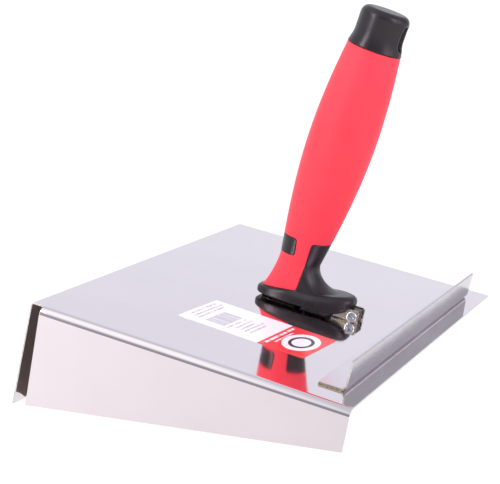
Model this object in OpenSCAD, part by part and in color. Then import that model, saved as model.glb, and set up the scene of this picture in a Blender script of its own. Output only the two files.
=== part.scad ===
// Corner trowel: a folded steel blade with two walls, an edge stiffener and a
// soft-grip handle that is clamped to a welded channel.
//
// Blade frame: X runs along the tapered front wall, Y along the side wall, Z is
// the normal of the blade on the handle's side. The origin is the outer corner
// of the two folds. stand() sets the trowel down on the edges of its walls.

/* [Blade] */
// Width of the blade, along the front wall
blade_w = 200; // [180:1:240]
// Depth of the blade, along the side wall
blade_d = 300; // [280:1:360]
// Thickness of the blade sheet
sheet_t = 1; // [0.8:0.1:1.2]
// Height of the walls at the corner
corner_h = 62; // [50:1:75]
// Height of the front wall at its shallow end
shallow_h = 24.5; // [18:0.5:30]
// Outer radius of the front fold
front_r = 5; // [4.8:0.1:7]
// Outer radius of the side fold
side_r = 2; // [1.6:0.1:3]
// Open gap between the two walls at the corner
corner_gap = 8.7; // [6:0.1:12]
// How far the corner relief cuts back into the blade
relief = 4.5; // [2:0.1:4.7]

/* [Stiffener] */
// Length of the edge stiffener
stiff_l = 256; // [200:1:260]
// Width of its flat leg, up to the outer face of its flange
stiff_w = 16.5; // [14:0.5:20]
// Height of its flange
stiff_h = 18; // [10:0.5:20]
// Thickness of its sheet
stiff_t = 1.5; // [1:0.1:2]
// Outer radius of its fold
stiff_r = 3; // [2.5:0.1:4]
// Outward lean of its flange, in degrees
stiff_lean = 3.5; // [3.5:0.5:4]
// Strip of blade left outside it
stiff_inset = 10.5; // [8:0.5:14]

/* [Grip] */
// Place of the handle's axis along the blade's width, at the blade
handle_x = 101.6; // [98:0.2:106]
// Lean of the handle towards the stiffener, in degrees
handle_lean = 8.1; // [5:0.1:11]
// Width of the neck across the foot's length
neck_w = 27.2; // [26:0.2:28]
// Thickness of the neck
neck_t = 23.2; // [22:0.2:25]
// Width of the grip at its belly
belly_w = 42.8; // [38:0.2:44]
// Thickness of the grip at its belly
belly_t = 35; // [31:0.5:36]
// Distance from the blade to the neck, along the axis
neck_s = 30; // [28:0.5:32]
// Distance from the blade to the belly, along the axis
belly_s = 112; // [105:1:120]
// Distance from the blade to the end cap, along the axis
cap_s = 171; // [162:1:176]
// Thickness of the soft grip over the core
grip_t = 2.8; // [2:0.1:3.2]

/* [End cap] */
// Length of the end cap outside the grip
cap_l = 24.4; // [23.6:0.2:30]
// Width of the end cap near its top
cap_w = 30.8; // [28:0.2:32]
// Thickness of the end cap near its top
cap_t = 27.4; // [25:0.2:29]
// Rounding of its top edge
cap_round = 4.5; // [3:0.5:5]
// Width of the hanging slot
slot_w = 8; // [6:0.5:9]
// Length of the hanging slot along the handle
slot_l = 16; // [13:0.5:17]

/* [Foot] */
// Place of the foot's heel along the blade's width
heel_x = 82; // [80:0.5:84]
// Length of the foot
foot_l = 65.6; // [62:0.2:68]
// Width of the foot
foot_w = 27; // [25:0.5:30]
// Height of the foot's upper face above the blade, at the heel
heel_h = 7; // [6.8:0.1:8]
// Slope of the foot's upper face towards the toe
foot_rise = 0.128; // [0.12:0.004:0.148]
// Height of the sole above the blade, at the heel
sole_h = 2; // [1.5:0.1:2.2]
// Rise of the sole at the toe
toe_lift = 5.3; // [4.5:0.1:5.5]

/* [Channel and clamp screw] */
// End of the channel along the blade's width
channel_end = 153; // [152:0.5:156]
// Length of the channel
channel_l = 66; // [64:0.5:68]
// Width over the channel's walls
channel_w = 9.6; // [9.2:0.1:10.4]
// Thickness of the channel's sheet
channel_t = 1.2; // [1:0.1:1.2]
// Height of the clamp lugs
lug_h = 8; // [7.8:0.1:8.4]
// Radius of the clamp screw's thread
screw_r = 2; // [1.9:0.05:2.1]

/* [Label] */
// Length of the label
label_l = 83.5; // [60:0.5:84]
// Width of the label
label_w = 48; // [30:0.5:50]

/* [Hidden] */
$fn = 64;

// Tilt of the blade when the trowel stands on the edges of its walls
tilt = atan((corner_h - shallow_h) / blade_w);
mid_y = blade_d / 2;
big = 500;

// Handle: facets, foot and neck
ring_n = 36;
foot_power = 2 / 3;
fillet_r = 16.5;
toe_x = heel_x + foot_l;
// Place along the blade's width where the sole starts to rise
lift_x = toe_x - 17;
grip_fade = 63;

// Extra length of a cutting shape
cut_past = 1;

// Hollow of the core and the cap's plug in it
hollow_r = 7.5;
hollow_s = 50;
plug_l = 12;
plug_gap = 0.05;

// Borders of the soft grip, in the blade's X and Z
grip_low = [7.4, 11];
grip_side = [110.8, 115.2];
grip_side_top = 43;
window_z = [32.7, 44.3];
window_x = 105.4;

// Channel: heel part with lips, then lugs for the clamp screw
channel_r = 1.8;
channel_x = channel_end - channel_l;
heel_part_l = 23.5;
heel_part_h = 5.5;
lug_l = 17;
lip_w = 1.8;
key_gap = 0.1;
screw_x = channel_end - 4.2;
screw_z = 3.7;
head_r = 3.5;
head_h = 2.6;
screw_l = 16;
recess_w = 1.1;
recess_depth = 1.4;
screw_fit = 0.15;
sleeve_wall = 0.85;
nut_flats = 7;
nut_h = 3.6;
nut_collar_r = 3.3;
nut_collar_h = 5;
nut_ring_r = 2.8;
nut_ring_h = 1.1;
thread_fit = 0.05;

// Label: place, turn and thickness
label_t = 0.15;
label_mid = [111.7, 79.8];
label_turn = -4;

steel = "gainsboro";
black = "dimgray";
red = "crimson";

// Stands the blade frame on its walls, with the origin under the middle
module stand() {
    translate([(corner_h * sin(tilt) - blade_w * cos(tilt)) / 2, -mid_y, corner_h * cos(tilt)])
        rotate([0, tilt, 0]) children();
}

// Extrudes an outline drawn in Y and Z along X
module along_x(l) {
    rotate([90, 0, 90]) linear_extrude(l) children();
}

// Extrudes an outline drawn in X and Z along Y
module along_y(l) {
    translate([0, l, 0]) rotate([90, 0, 0]) linear_extrude(l) children();
}

// Folded sheet: flat from x = 0 to run, then a fold of outer radius r down to a wall
module fold(r, t, run, drop, lean = 0) {
    wall_l = (drop - r + r * sin(lean)) / cos(lean);
    translate([0, -t]) square([run, t]);
    translate([0, -r]) {
        intersection() {
            difference() {
                circle(r);
                circle(r - t);
            }
            polygon([[0, 0], [0, 2 * r], [-2 * r, 2 * r], [-2 * r, 2 * r * tan(lean)]]);
        }
        rotate(-lean) translate([-r, -wall_l]) square([t, wall_l]);
    }
}

// ---- blade ----

module side_fold() {
    intersection() {
        translate([side_r, 0, 0]) along_y(blade_d)
            fold(side_r, sheet_t, blade_w - side_r, corner_h);
        translate([-1, 0, 0]) along_x(blade_w + 2)
            polygon([[relief, 1], [relief, 0], [0, -corner_h], [0, -corner_h - 1],
                     [blade_d, -corner_h - 1], [blade_d, 1]]);
    }
}

module front_fold() {
    translate([corner_gap, front_r, 0]) along_x(blade_w - corner_gap)
        fold(front_r, sheet_t, blade_d - front_r, corner_h);
}

module blade() {
    color(steel) intersection() {
        stand() union() {
            front_fold();
            difference() {
                side_fold();
                translate([corner_gap, -1, -big / 2]) cube([blade_w, front_r + 1, big]);
            }
        }
        translate([-big, -big, 0]) cube(2 * big);
    }
}

// ---- edge stiffener ----

module edge_stiffener() {
    color(steel) stand()
        translate([blade_w - stiff_inset - stiff_r, (blade_d - stiff_l) / 2, 0]) along_y(stiff_l)
            rotate(180) fold(stiff_r, stiff_t, stiff_w - stiff_r, stiff_h, stiff_lean);
}

// ---- mounting channel and its clamp ----

module channel_outline(h) {
    for (side = [0, 1])
        mirror([side, 0])
            translate([channel_w / 2 - channel_r, 0])
                rotate(180) fold(channel_r, channel_t, channel_w / 2 - channel_r, h);
}

module heel_part() {
    along_x(heel_part_l) {
        channel_outline(heel_part_h);
        for (side = [0, 1])
            mirror([side, 0])
                translate([channel_w / 2 - channel_t - lip_w, heel_part_h - channel_t])
                    square([channel_t + lip_w, channel_t]);
    }
}

module lug_part() {
    translate([channel_l - lug_l, 0, 0]) along_x(lug_l) channel_outline(lug_h);
}

module mounting_channel() {
    color(steel) stand() difference() {
        translate([channel_x, mid_y, 0]) {
            difference() {
                heel_part();
                translate([heel_part_l, -channel_w, channel_t]) rotate([0, -45, 0])
                    cube([channel_w, 2 * channel_w, 2 * channel_w]);
            }
            translate([0, channel_r - channel_w / 2, 0])
                cube([channel_l, channel_w - 2 * channel_r, channel_t]);
            lug_part();
        }
        on_screw(-channel_w) cylinder(r = screw_r + screw_fit, h = 2 * channel_w);
    }
}

// Places children on the screw's axis, y across the channel from its middle
module on_screw(y) {
    translate([screw_x, mid_y + y, screw_z]) rotate([-90, 0, 0]) children();
}

module clamp_screw() {
    color(steel) stand() on_screw(-channel_w / 2) difference() {
        union() {
            translate([0, 0, -head_h]) cylinder(r = head_r, h = head_h);
            cylinder(r = screw_r, h = screw_l);
        }
        for (turn = [0, 90])
            rotate(turn) translate([-head_r * 0.6, -recess_w / 2, -head_h - 1])
                cube([head_r * 1.2, recess_w, recess_depth + 1]);
    }
}

module spacer_sleeve() {
    sleeve_l = channel_w - 2 * channel_t;
    color(steel) stand() on_screw(-sleeve_l / 2) difference() {
        cylinder(r = screw_r + screw_fit + sleeve_wall, h = sleeve_l);
        translate([0, 0, -1]) cylinder(r = screw_r + screw_fit, h = sleeve_l + 2);
    }
}

module lock_nut() {
    color(steel) stand() on_screw(channel_w / 2) difference() {
        union() {
            cylinder(r = nut_flats / 2 / cos(30), h = nut_h, $fn = 6);
            cylinder(r = nut_collar_r, h = nut_collar_h);
        }
        translate([0, 0, -1]) cylinder(r = screw_r + thread_fit, h = nut_collar_h + 2);
        translate([0, 0, nut_h]) cylinder(r = nut_ring_r, h = nut_ring_h);
    }
}

module nut_ring() {
    color("royalblue") stand() on_screw(channel_w / 2 + nut_h) difference() {
        cylinder(r = nut_ring_r, h = nut_ring_h);
        translate([0, 0, -1]) cylinder(r = screw_r + thread_fit, h = nut_ring_h + 2);
    }
}

// ---- handle surfaces ----

function signed_pow(v, p) = sign(v) * pow(abs(v), p);

// Swelling of the grip: 0 at the neck, 1 at the belly, less again at the cap
function swell(s) =
    s < belly_s ? sin(90 * (s - neck_s) / (belly_s - neck_s))
                : cos(grip_fade * (s - belly_s) / (cap_s - belly_s));
function grip_a(s) = (neck_w + (belly_w - neck_w) * swell(s)) / 2;
function grip_b(s) = (neck_t + (belly_t - neck_t) * swell(s)) / 2;

// Point on the leaning handle: s along its axis, a across it, b in Y
function on_axis(s, a, b) =
    [handle_x + s * sin(handle_lean) + a * cos(handle_lean), b,
     s * cos(handle_lean) - a * sin(handle_lean)];
function grip_ring(s, a, b) =
    [for (i = [0:ring_n - 1]) let (u = i * 360 / ring_n) on_axis(s, a * cos(u), b * sin(u))];

// Plan outline of the foot, drawn in by d
function foot_xy(u, d) =
    [(heel_x + toe_x) / 2 + (foot_l / 2 - d) * signed_pow(cos(u), foot_power),
     (foot_w / 2 - d) * signed_pow(sin(u), foot_power)];
// How much the foot's sides flow into the neck: most beside the toe half
function foot_flow(u) = smooth((toe_share(u) - 0.38) / 0.15) * pow(sin(u), 2);
// Rounding of the foot's upper edge, inwards and down, and of its sole's edge;
// each grows from the heel, u = 180, to the toe, u = 0
function toe_share(u) = (1 + cos(u)) / 2;
function smooth(t) = let (v = min(1, max(0, t))) v * v * (3 - 2 * v);
function foot_edge(u) = (1.8 + 2.7 * pow(toe_share(u), 3)) * (1 - 0.2 * foot_flow(u));
function foot_drop(u) = 1.8 + 2.7 * toe_share(u) + 1.8 * foot_flow(u);
function sole_round(u) = 1.5 + 1.3 * pow(toe_share(u), 2);
function top_z(x) = heel_h + (x - heel_x) * foot_rise;
function sole_z(x) = sole_h + toe_lift * pow(max(0, x - lift_x) / (toe_x - lift_x), 2);
// Ring of the foot's upper edge, with v from 0 at its side to 90 at its top
function foot_ring(v) =
    [for (i = [0:ring_n - 1])
        let (u = i * 360 / ring_n,
             flow = foot_flow(u),
             inward = (1 - flow) * (1 - cos(v)) + flow * smooth(v / 90),
             down = (1 - flow) * (1 - sin(v)) + flow * (1 - v / 90),
             p = foot_xy(u, foot_edge(u) * inward))
        [p[0], p[1], top_z(p[0]) - foot_drop(u) * down]];
// Ring of the sole's edge, with v from 0 at its underside to 90 at its side
function sole_ring(v) =
    [for (i = [0:ring_n - 1])
        let (u = i * 360 / ring_n, p = foot_xy(u, sole_round(u) * (1 - sin(v))))
        [p[0], p[1], sole_z(p[0]) + sole_round(u) * (1 - cos(v))]];

// Shape of the sweep: nearly straight above the heel, round above the toe
function sweep_power(u) = 1.45 - 0.45 * toe_share(u);
// Hollow sweep from the neck down to the foot's upper face, t from 0 to 1
function sweep_ring(t, inset) =
    [for (i = [0:ring_n - 1])
        let (u = i * 360 / ring_n,
             n = on_axis(neck_s, (neck_w / 2 - inset) * cos(u), (neck_t / 2 - inset) * sin(u)),
             f = foot_xy(u, foot_edge(u) + inset),
             reach = norm([f[0] - n[0], f[1] - n[1]]),
             k = min(0.95, fillet_r / reach),
             g = k * (1 - pow(max(0, cos(90 * t)), sweep_power(u))),
             fall = pow(sin(90 * t), sweep_power(u)),
             low = top_z(n[0] + k * (f[0] - n[0])) - inset)
        [n[0] + g * (f[0] - n[0]), n[1] + smooth(fall) * (f[1] - n[1]), n[2] + (low - n[2]) * fall]];

// Closed skin over a list of rings, the lowest ring first
module skin(rings) {
    n = len(rings[0]);
    m = len(rings);
    polyhedron(
        points = [for (ring = rings) for (p = ring) p],
        faces = concat(
            [[for (j = [0:n - 1]) j]],
            [[for (j = [0:n - 1]) m * n - 1 - j]],
            [for (i = [0:m - 2]) for (j = [0:n - 1])
                [i * n + j, (i + 1) * n + j, (i + 1) * n + (j + 1) % n]],
            [for (i = [0:m - 2]) for (j = [0:n - 1])
                [i * n + j, (i + 1) * n + (j + 1) % n, i * n + (j + 1) % n]]));
}

// Rings from the foot's upper face to the end cap, drawn in by inset
function grip_rings(inset) = concat(
    [for (k = [5:-1:1]) sweep_ring(k / 5, inset)],
    [for (s = [neck_s:(cap_s - neck_s) / 12:cap_s + 0.01])
        grip_ring(s, grip_a(s) - inset, grip_b(s) - inset)]);

// Outer surface of the foot, neck and grip
module handle_skin() {
    skin(concat(
        [for (v = [0, 45, 90]) sole_ring(v)],
        [for (v = [0, 45, 90]) foot_ring(v)],
        grip_rings(0)));
}

// Surface of the core under the soft grip, with past more length at its top
module core_skin(past = 0) {
    skin(concat(grip_rings(grip_t), past == 0 ? [] :
        [grip_ring(cap_s + past, grip_a(cap_s) - grip_t, grip_b(cap_s) - grip_t)]));
}

// Block that holds all of the soft grip and none of the bare core
module grip_zone() {
    translate([0, -big / 2, 0]) along_y(big)
        polygon([[0, big], [0, window_z[1]], [window_x, window_z[1]], [window_x, window_z[0]],
                 [0, window_z[0]], [0, grip_low[0]], [heel_x, grip_low[0]],
                 [grip_side[0], grip_low[1]], [grip_side[1], grip_side_top],
                 [big, grip_side_top], [big, big]]);
}

module on_handle(s) {
    translate([handle_x, 0, 0]) rotate([0, handle_lean, 0]) translate([0, 0, s]) children();
}

// Room in the foot for the channel, the screw's head and the nut
module channel_room() {
    room_w = channel_w + 0.6;
    translate([channel_x - 1, -room_w / 2, -1]) cube([heel_part_l + 3, room_w, heel_part_h + 1.3]);
    translate([channel_end - lug_l - 1, -room_w / 2, -1]) cube([lug_l + 9, room_w, lug_h + 1.3]);
    translate([screw_x, -foot_w, screw_z]) rotate([-90, 0, 0]) cylinder(r = 5, h = 2 * foot_w);
}

// Key of the foot: a tee under the channel's lips, a block across the channel's
// low middle and a block between its lugs
module foot_key() {
    tee_w = channel_w - 2 * channel_t - 2 * key_gap;
    tee_h = heel_part_h - 2 * channel_t - 2 * key_gap;
    stem_w = tee_w - 2 * lip_w;
    low = channel_t + key_gap;
    translate([channel_x + 1, -tee_w / 2, low]) cube([heel_part_l - 2, tee_w, tee_h]);
    translate([channel_x + 1, -stem_w / 2, low]) cube([heel_part_l - 2, stem_w, heel_part_h]);
    translate([channel_x + heel_part_l + 2.5, -6.5, low]) cube([19, 13, lug_h]);
    difference() {
        translate([channel_end - lug_l, -tee_w / 2, low]) cube([lug_l - 0.6, tee_w, lug_h + 1 - low]);
        translate([toe_x - 1, -tee_w, lug_h - 0.6]) cube([10, 2 * tee_w, 3]);
        translate([screw_x, -tee_w, screw_z]) rotate([-90, 0, 0])
            cylinder(r = screw_r + screw_fit + sleeve_wall, h = 2 * tee_w);
    }
}

// ---- handle pieces ----

module handle_core() {
    color(black) stand() translate([0, mid_y, 0]) {
        difference() {
            union() {
                difference() {
                    handle_skin();
                    grip_zone();
                }
                core_skin();
            }
            on_handle(hollow_s) cylinder(r = hollow_r, h = cap_s);
            channel_room();
        }
        foot_key();
    }
}

module soft_grip() {
    color(red) stand() translate([0, mid_y, 0]) difference() {
        intersection() {
            handle_skin();
            grip_zone();
        }
        core_skin(cut_past);
    }
}

// Half widths of the cap at a distance h above the grip
function cap_in(h) = 2.3 * pow(max(0, 1 - h / 10), 2);
function cap_ring(h, inset) =
    grip_ring(cap_s + h, cap_w / 2 + cap_in(h) - inset, cap_t / 2 + cap_in(h) / 2 - inset);

module end_cap() {
    color(black) stand() translate([0, mid_y, 0]) difference() {
        union() {
            skin(concat(
                [for (h = [0, 2, 4, 7, 10]) cap_ring(h, 0)],
                [for (u = [0:22.5:90])
                    cap_ring(cap_l - cap_round * (1 - sin(u)), cap_round * (1 - cos(u)))]));
            on_handle(cap_s - plug_l) cylinder(r = hollow_r - plug_gap, h = plug_l + 1);
        }
        on_handle(cap_s + cap_l / 2 - 0.9) rotate([0, 90, 0]) translate([0, 0, -cap_w])
            for (end = [-1, 0, 1])
                if (end == 0)
                    translate([-(slot_l - slot_w) / 2, -slot_w / 2, 0])
                        cube([slot_l - slot_w, slot_w, 2 * cap_w]);
                else
                    translate([end * (slot_l - slot_w) / 2, 0, 0]) cylinder(d = slot_w, h = 2 * cap_w);
    }
}

// ---- label ----

module label() {
    color("white") stand() translate([label_mid[0], label_mid[1], 0]) rotate(label_turn)
        translate([-label_l / 2, -label_w / 2, 0]) cube([label_l, label_w, label_t]);
}

blade();
edge_stiffener();
mounting_channel();
clamp_screw();
spacer_sleeve();
lock_nut();
nut_ring();
handle_core();
soft_grip();
end_cap();
label();
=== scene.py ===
import math

import bmesh
import bpy
import numpy as np
from mathutils import Matrix, Vector, kdtree


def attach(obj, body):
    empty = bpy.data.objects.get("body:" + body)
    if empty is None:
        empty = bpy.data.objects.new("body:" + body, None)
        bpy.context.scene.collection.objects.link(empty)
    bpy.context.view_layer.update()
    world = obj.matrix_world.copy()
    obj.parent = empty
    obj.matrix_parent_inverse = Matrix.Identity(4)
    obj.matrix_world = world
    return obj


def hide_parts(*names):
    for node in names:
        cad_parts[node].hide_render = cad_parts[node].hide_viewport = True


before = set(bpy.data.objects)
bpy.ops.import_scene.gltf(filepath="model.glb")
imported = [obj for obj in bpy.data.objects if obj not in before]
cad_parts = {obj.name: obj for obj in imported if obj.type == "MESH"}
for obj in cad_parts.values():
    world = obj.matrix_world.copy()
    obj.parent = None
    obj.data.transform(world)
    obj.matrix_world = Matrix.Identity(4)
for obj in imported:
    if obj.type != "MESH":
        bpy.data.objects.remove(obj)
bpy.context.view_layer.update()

# Lengths are in millimetres in the blade's own frame: X along the front wall, Y
# along the side wall, Z the normal of the blade on the handle's side, with the
# origin at the outer corner of the two folds. STAND turns them into the CAD frame.
MM = 0.001
BODY = "root"

BLADE_W = 200
BLADE_D = 300
SHEET_T = 1
CORNER_H = 62
SHALLOW_H = 24.5
FRONT_R = 5
SIDE_R = 2
CORNER_GAP = 8.7
RELIEF = 4.5
MID_Y = BLADE_D / 2

TILT = math.atan((CORNER_H - SHALLOW_H) / BLADE_W)
STAND = (
    Matrix.Scale(MM, 4)
    @ Matrix.Translation((
        (CORNER_H * math.sin(TILT) - BLADE_W * math.cos(TILT)) / 2,
        -MID_Y,
        CORNER_H * math.cos(TILT),
    ))
    @ Matrix.Rotation(TILT, 4, "Y")
)

STIFF_L = 256
STIFF_W = 16.5
STIFF_H = 18
STIFF_T = 1.5
STIFF_R = 3
STIFF_LEAN = math.radians(3.5)
STIFF_INSET = 10.5

HANDLE_X = 101.6
HANDLE_LEAN = math.radians(8.1)
NECK_W, NECK_T, NECK_S = 27.2, 23.2, 30
BELLY_W, BELLY_T, BELLY_S = 42.8, 35, 112
CAP_S = 171
GRIP_FADE = math.radians(63)
GRIP_T = 2.8

CAP_L, CAP_W, CAP_T, CAP_ROUND = 24.4, 30.8, 27.4, 4.5
SLOT_W, SLOT_L = 8, 16
SLOT_S = CAP_S + CAP_L / 2 - 0.9
HOLLOW_R, HOLLOW_S, PLUG_L, PLUG_GAP = 7.5, 50, 12, 0.05

HEEL_X, FOOT_L, FOOT_W = 82, 65.6, 27
TOE_X = HEEL_X + FOOT_L
HEEL_H, FOOT_RISE = 7, 0.128
SOLE_H, TOE_LIFT, LIFT_X = 2, 5.3, TOE_X - 17
FOOT_POWER, FILLET_R = 2 / 3, 16.5

CHANNEL_END, CHANNEL_L, CHANNEL_W, CHANNEL_T = 153, 66, 9.6, 1.2
CHANNEL_X = CHANNEL_END - CHANNEL_L
CHANNEL_R = 1.8
CHANNEL_ROOM = 0.3
HEEL_PART_L, HEEL_PART_H = 23.5, 5.5
LUG_L, LUG_H, LIP_W = 17, 8, 1.8
KEY_GAP = 0.1
SCREW_X, SCREW_Z = CHANNEL_END - 4.2, 3.7
SCREW_R, HEAD_R, HEAD_H, SCREW_L, HEAD_ROOM_R = 2, 3.5, 2.6, 16, 5
SCREW_FIT, SLEEVE_WALL = 0.15, 0.85
NUT_FLATS, NUT_H, NUT_COLLAR_R, NUT_COLLAR_H = 7, 3.6, 3.3, 5
NUT_RING_R, NUT_RING_H, THREAD_FIT = 2.8, 1.1, 0.05

LABEL_L, LABEL_W, LABEL_T = 83.5, 48, 0.15
LABEL_MID = (111.7, 79.8)
LABEL_TURN = math.radians(-4)


# ---- material helpers ----

MATERIALS = {}


def new_material(name, **values):
    """Node tree and shader of a new material, with the shader's own sockets set."""
    made = bpy.data.materials.new(name)
    MATERIALS[name] = made
    made.use_nodes = True
    shader = made.node_tree.nodes["Principled BSDF"]
    for socket, value in values.items():
        shader.inputs[socket.replace("_", " ")].default_value = value
    return made.node_tree, shader


def add(tree, kind, inputs=None, **settings):
    """A node of that kind. An input is a value or the output socket that feeds it."""
    made = tree.nodes.new("ShaderNode" + kind)
    for name, value in settings.items():
        setattr(made, name, value)
    for socket, value in (inputs or {}).items():
        if isinstance(value, bpy.types.NodeSocket):
            tree.links.new(value, made.inputs[socket])
        else:
            made.inputs[socket].default_value = value
    return made


def place(tree, scale=(1, 1, 1), uv=False):
    """Coordinates of the piece, stretched by scale."""
    source = add(tree, "TexCoord")
    vector = source.outputs["UV" if uv else "Object"]
    return add(tree, "Mapping", {"Vector": vector, "Scale": scale}).outputs[0]


def noise(tree, vector, scale, detail=3.0, roughness=0.5):
    return add(tree, "TexNoise", {
        "Vector": vector, "Scale": scale, "Detail": detail, "Roughness": roughness,
    }).outputs[0]


def ramp(tree, value, stops):
    """Colour that runs through the stops, each a place and a grey or a colour."""
    made = add(tree, "ValToRGB", {0: value})
    elements = made.color_ramp.elements
    while len(elements) < len(stops):
        elements.new(0.5)
    for element, (position, colour) in zip(elements, stops):
        element.position = position
        grey = isinstance(colour, (int, float))
        element.color = (colour, colour, colour, 1) if grey else (*colour, 1)
    return made.outputs[0]


def spread(tree, value, low, high, start=0.0, end=1.0):
    """A value that runs from start to end, spread over low to high."""
    return add(tree, "MapRange", {0: value, 1: start, 2: end, 3: low, 4: high}).outputs[0]


def mix(tree, factor, first, second, blend="MIX"):
    """Colour from first to second, each a colour or the output socket that feeds it."""
    ends = [(*end, 1) if isinstance(end, tuple) else end for end in (first, second)]
    return add(tree, "Mix", {0: factor, 6: ends[0], 7: ends[1]}, data_type="RGBA",
               blend_type=blend).outputs[2]


def math_node(tree, operation, first, second=0.0):
    return add(tree, "Math", {0: first, 1: second}, operation=operation).outputs[0]


def times(tree, first, second):
    return math_node(tree, "MULTIPLY", first, second)


def surface(tree, shader, colour, roughness):
    tree.links.new(colour, shader.inputs["Base Color"])
    tree.links.new(roughness, shader.inputs["Roughness"])


def bump(tree, shader, height, strength, distance):
    """Adds a height to whatever bump already feeds the shader."""
    made = add(tree, "Bump", {
        "Height": height, "Strength": strength, "Distance": distance,
    })
    if shader.inputs["Normal"].links:
        tree.links.new(shader.inputs["Normal"].links[0].from_socket, made.inputs["Normal"])
    tree.links.new(made.outputs[0], shader.inputs["Normal"])


# ---- materials ----

def polished_steel():
    """Mirror-bright stainless sheet with faint rolling lines, smudges and scratches.

    The front wall's colour darkens a little towards its shallow end: painted shade.
    """
    tree, shader = new_material("polished_steel", Metallic=1.0)
    here = place(tree)
    lines = noise(tree, place(tree, (40, 1.5, 40)), 60, 4)
    smudge = noise(tree, here, 18, 3, 0.6)
    scratch = noise(tree, place(tree, (6, 160, 90)), 7, 2)
    fine = ramp(tree, scratch, [(0.0, 0.0), (0.66, 0.0), (0.72, 1.0)])
    tint = ramp(tree, smudge, [(0.3, (0.79, 0.71, 0.74)), (0.7, (0.82, 0.735, 0.77))])
    axes = add(tree, "SeparateXYZ", {0: here})
    # Painted shade: the front wall's colour darkens from 0.97 to 0.86 along X towards its shallow
    # end.
    front = math_node(tree, "LESS_THAN", axes.outputs[1], (0.5 - MID_Y) * MM)
    painted_wall_shade = mix(tree, spread(tree, axes.outputs[0], 0.0, 1.0, -0.1, 0.1),
               (0.97, 0.97, 0.97), (0.86, 0.86, 0.86))
    colour = mix(tree, front, tint, mix(tree, 1.0, tint, painted_wall_shade, "MULTIPLY"))
    rough = math_node(tree, "ADD", spread(tree, smudge, 0.03, 0.075, 0.3, 0.7),
                      times(tree, fine, 0.05))
    surface(tree, shader, colour, rough)
    bump(tree, shader, noise(tree, here, 9, 1), 0.06, 0.002)
    bump(tree, shader, lines, 0.02, 0.0002)


def leg_steel():
    """Brushed face of the stiffener's leg: light, with a soft and blurred sheen."""
    tree, shader = new_material("leg_steel", Metallic=1.0)
    here = place(tree)
    strokes = noise(tree, place(tree, (1, 30, 1)), 700, 3, 0.6)
    cloud = noise(tree, here, 30, 3)
    tint = ramp(tree, cloud, [(0.3, (0.80, 0.735, 0.79)), (0.7, (0.85, 0.78, 0.83))])
    surface(tree, shader, tint, spread(tree, strokes, 0.24, 0.34, 0.3, 0.7))
    bump(tree, shader, strokes, 0.05, 0.0002)


def mill_steel():
    """Outer side of the sheet: grey, finely speckled, with a low shine."""
    tree, shader = new_material("mill_steel", Metallic=1.0)
    here = place(tree)
    speckle = noise(tree, here, 1100, 2, 0.7)
    cloud = noise(tree, place(tree, (1, 0.4, 1)), 45, 4, 0.6)
    base = ramp(tree, speckle, [(0.3, (0.56, 0.53, 0.58)), (0.7, (0.84, 0.81, 0.86))])
    shade = ramp(tree, cloud, [(0.3, (0.82, 0.82, 0.82)), (0.7, (1.0, 1.0, 1.0))])
    surface(tree, shader, mix(tree, 1.0, base, shade, "MULTIPLY"),
            spread(tree, speckle, 0.14, 0.24, 0.3, 0.7))
    bump(tree, shader, speckle, 0.14, 0.0002)


def cut_edge(name, dark, light):
    """Sheared edge of a sheet: torn, rough and a little brown."""
    tree, shader = new_material(name, Metallic=1.0)
    here = place(tree)
    tear = noise(tree, here, 1500, 3, 0.7)
    surface(tree, shader, ramp(tree, tear, [(0.35, dark), (0.65, light)]),
            spread(tree, tear, 0.3, 0.55, 0.3, 0.7))
    bump(tree, shader, tear, 0.35, 0.0003)


def channel_steel():
    """Folded steel with the brown and straw tints of welding, darkened towards the heel by
    painted shade where it lies under the foot.
    """
    tree, shader = new_material("channel_steel", Metallic=1.0)
    here = place(tree)
    heat = noise(tree, here, 170, 3, 0.6)
    tint = ramp(tree, heat, [
        (0.3, (0.40, 0.33, 0.24)), (0.5, (0.62, 0.55, 0.42)), (0.7, (0.70, 0.67, 0.62)),
    ])
    axes = add(tree, "SeparateXYZ", {0: here})
    # Painted shade: the colour darkens towards the heel, where the channel lies in the shade
    # under the foot.
    painted_heel_shade = mix(tree, spread(tree, axes.outputs[0], 1.0, 0.0, 0.015, 0.035),
               (1.0, 1.0, 1.0), (0.09, 0.07, 0.065))
    surface(tree, shader, mix(tree, 1.0, tint, painted_heel_shade, "MULTIPLY"),
            spread(tree, heat, 0.18, 0.34, 0.3, 0.7))
    bump(tree, shader, noise(tree, here, 900, 2), 0.12, 0.0002)


def zinc_plate():
    """Bright zinc plating with a faint blue cast."""
    tree, shader = new_material("zinc_plate", Metallic=1.0)
    here = place(tree)
    cloud = noise(tree, here, 420, 3, 0.6)
    tint = ramp(tree, cloud, [(0.3, (0.66, 0.69, 0.76)), (0.7, (0.86, 0.88, 0.92))])
    surface(tree, shader, tint, spread(tree, cloud, 0.10, 0.22, 0.3, 0.7))
    bump(tree, shader, noise(tree, here, 2400, 2), 0.08, 0.0001)


def nylon():
    """Blue nylon, slightly waxy."""
    tree, shader = new_material("nylon", Specular_IOR_Level=0.5)
    cloud = noise(tree, place(tree), 900, 3)
    tint = ramp(tree, cloud, [(0.3, (0.05, 0.13, 0.42)), (0.7, (0.08, 0.19, 0.55))])
    surface(tree, shader, tint, spread(tree, cloud, 0.34, 0.5, 0.3, 0.7))
    bump(tree, shader, cloud, 0.1, 0.0002)


def core_plastic():
    """Black moulded plastic with a fine spark-eroded grain."""
    tree, shader = new_material("core_plastic", Specular_IOR_Level=0.42,
                                Specular_Tint=(1.0, 0.88, 0.93, 1))
    here = place(tree)
    grain = noise(tree, here, 3200, 2, 0.6)
    cloud = noise(tree, here, 40, 3)
    tint = ramp(tree, cloud, [(0.3, (0.011, 0.008, 0.010)), (0.7, (0.017, 0.014, 0.016))])
    surface(tree, shader, tint, spread(tree, cloud, 0.25, 0.33, 0.3, 0.7))
    bump(tree, shader, grain, 0.12, 0.00012)


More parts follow.
